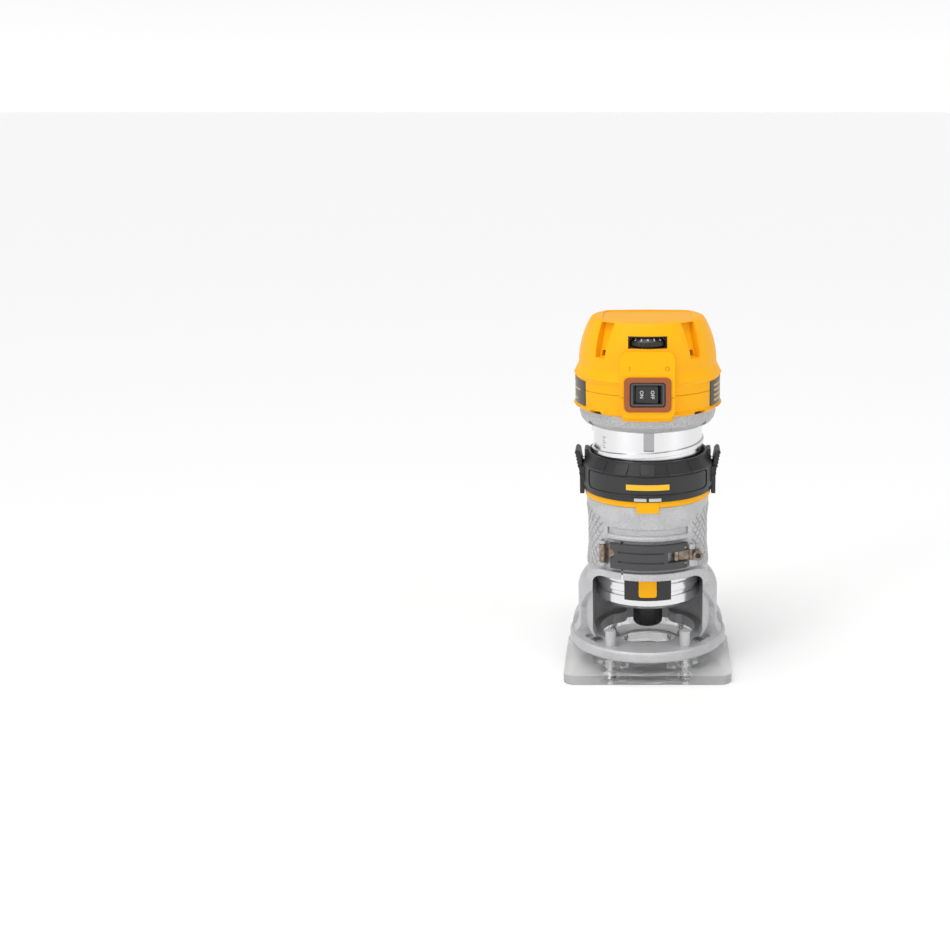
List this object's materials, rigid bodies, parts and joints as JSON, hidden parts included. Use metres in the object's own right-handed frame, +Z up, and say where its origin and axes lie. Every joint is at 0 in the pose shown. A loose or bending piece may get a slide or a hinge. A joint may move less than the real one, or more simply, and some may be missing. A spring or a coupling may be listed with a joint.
{
  "type": "trim router",
  "caption": "Compact corded trim router: motor unit with collet, speed dial and rocker switch, clamped by a toggle lever in a fixed base with a height ring and a clear sub-base.",
  "frame": {"origin": "on the surface that the sub-base stands on, under the spindle axis", "axes": "+Z up along the spindle axis, -Y towards the operator, where the switch is, +X to the operator's right"},
  "size_m": [0.106, 0.11, 0.2249],
  "materials": {
    "cast_alloy": "fine cast texture",
    "machined_alloy": "turned, satin",
    "clear_plastic": "clear polycarbonate",
    "screw_steel": "zinc plated",
    "steel": "ground steel",
    "chrome_steel": "polished",
    "bronze_steel": "brown phosphate",
    "black_steel": "black oxide",
    "grey_plastic": "satin",
    "yellow_plastic": "fine satin",
    "black_plastic": "satin",
    "dark_plastic": "satin",
    "board_green": "board",
    "copper": "enamelled copper",
    "brass": "satin",
    "carbon": "graphite",
    "rubber_black": "moulded",
    "label_black": "printed label, left blank",
    "amber_rubber": "moulded, translucent"
  },
  "bodies": {
    "base": {"base_casting": "cast_alloy", "sub_base": "clear_plastic", "sub_base_screws": "screw_steel", "guide_pin": "steel", "guide_bushing_screws": "screw_steel", "strap_pin": "steel", "hook_pin": "steel"},
    "scale": {"scale_ring": "yellow_plastic"},
    "ring": {"height_ring": "black_plastic", "tab_pins": "steel"},
    "tab_left": {"release_tab_left": "black_plastic", "tab_spring_left": "steel"},
    "tab_right": {"release_tab_right": "black_plastic", "tab_spring_right": "steel"},
    "motor": {"motor_can": "machined_alloy", "lock_surround": "dark_plastic", "led_board": "board_green", "led_lenses": "clear_plastic", "lower_bearing_outer_race": "steel", "lower_bearing_balls": "chrome_steel", "upper_bearing_outer_race": "steel", "upper_bearing_balls": "chrome_steel", "bearing_bracket": "black_plastic", "field_core": "steel", "field_coils": "copper", "brush_holders": "brass", "carbon_brushes": "carbon", "brush_springs": "steel", "lower_band": "yellow_plastic", "top_cap": "yellow_plastic", "cord_gland": "rubber_black", "housing_screws": "screw_steel", "rating_plate_left": "label_black", "rating_plate_right": "label_black", "switch_boot": "amber_rubber", "switch_body": "dark_plastic", "dial_surround": "dark_plastic", "speed_controller": "board_green"},
    "lock": {"lock_button": "yellow_plastic", "lock_spring": "steel"},
    "rotor": {"spindle": "steel", "lock_disc": "steel", "collet_nut": "black_steel", "collet": "steel", "lower_bearing_inner_race": "steel", "upper_bearing_inner_race": "steel", "cooling_fan": "black_plastic", "armature_core": "steel", "armature_windings": "copper", "commutator": "copper"},
    "rocker": {"switch_rocker": "dark_plastic"},
    "dial": {"speed_dial": "dark_plastic"},
    "strap": {"clamp_strap": "bronze_steel"},
    "lever": {"clamp_lever": "grey_plastic", "lever_pins": "steel", "link_pin": "steel"},
    "link": {"clamp_link": "bronze_steel"},
    "tension": {"tension_screw": "black_steel"}
  },
  "joints": [
    {"name": "ring_turn", "type": "hinge", "parent": "base", "child": "ring", "pos_m": [0, 0, 0.127], "axis": [0, 0, 1], "range_deg": [-361, 469]},
    {"name": "motor_slide", "type": "slide", "parent": "base", "child": "motor", "axis": [0, 0, 1], "range_m": [-0.0165, 0.0127]},
    {"name": "scale_turn", "type": "hinge", "parent": "base", "child": "scale", "pos_m": [0, 0, 0.1127], "axis": [0, 0, 1], "continuous": true},
    {"name": "tab_left_squeeze", "type": "hinge", "parent": "ring", "child": "tab_left", "pos_m": [-0.0416, 0, 0.125], "axis": [0, 1, 0], "range_deg": [0, 7], "stiffness_Nm_per_rad": 0.4, "springref_deg": -5.73, "deforming": ["tab_spring_left"]},
    {"name": "tab_right_squeeze", "type": "hinge", "parent": "ring", "child": "tab_right", "pos_m": [0.0416, 0, 0.125], "axis": [0, -1, 0], "range_deg": [0, 7], "stiffness_Nm_per_rad": 0.4, "springref_deg": -5.73, "deforming": ["tab_spring_right"]},
    {"name": "spindle_spin", "type": "hinge", "parent": "motor", "child": "rotor", "pos_m": [0, 0, 0.1], "axis": [0, 0, 1], "continuous": true},
    {"name": "lock_press", "type": "slide", "parent": "motor", "child": "lock", "axis": [0, 1, 0], "range_m": [0, 0.003], "stiffness_N_per_m": 800, "springref_m": -0.002, "deforming": ["lock_spring"]},
    {"name": "switch_rock", "type": "hinge", "parent": "motor", "child": "rocker", "pos_m": [0, -0.042, 0.1834], "axis": [0, 0, 1], "range_deg": [0, 14]},
    {"name": "speed_turn", "type": "hinge", "parent": "motor", "child": "dial", "pos_m": [0, -0.0274, 0.2134], "axis": [0, 0, 1], "range_deg": [-150, 150]},
    {"name": "strap_swing", "type": "hinge", "parent": "base", "child": "strap", "pos_m": [-0.0282, -0.0295, 0.079], "axis": [0, 0, 1], "range_deg": [-2.2, 0.2]},
    {"name": "lever_open", "type": "hinge", "parent": "strap", "child": "lever", "pos_m": [0.0229, -0.0339, 0.079], "axis": [0, 0, 1], "range_deg": [0, 80]},
    {"name": "link_swing", "type": "hinge", "parent": "base", "child": "link", "pos_m": [0.0274, -0.0319, 0.079], "axis": [0, 0, 1], "range_deg": [-0.5, 47]},
    {"name": "tension_turn", "type": "hinge", "parent": "base", "child": "tension", "pos_m": [0.0314, -0.0215, 0.0794], "axis": [0, -1, 0], "range_deg": [-180, 180]}
  ],
  "couplings": [
    {"joint": "ring_turn", "follows": "motor_slide", "rad_per_m": -494.74},
    {"joint": "strap_swing", "follows": "lever_open", "ratio": -0.0251},
    {"joint": "link_swing", "follows": "lever_open", "ratio": 0.58}
  ]
}
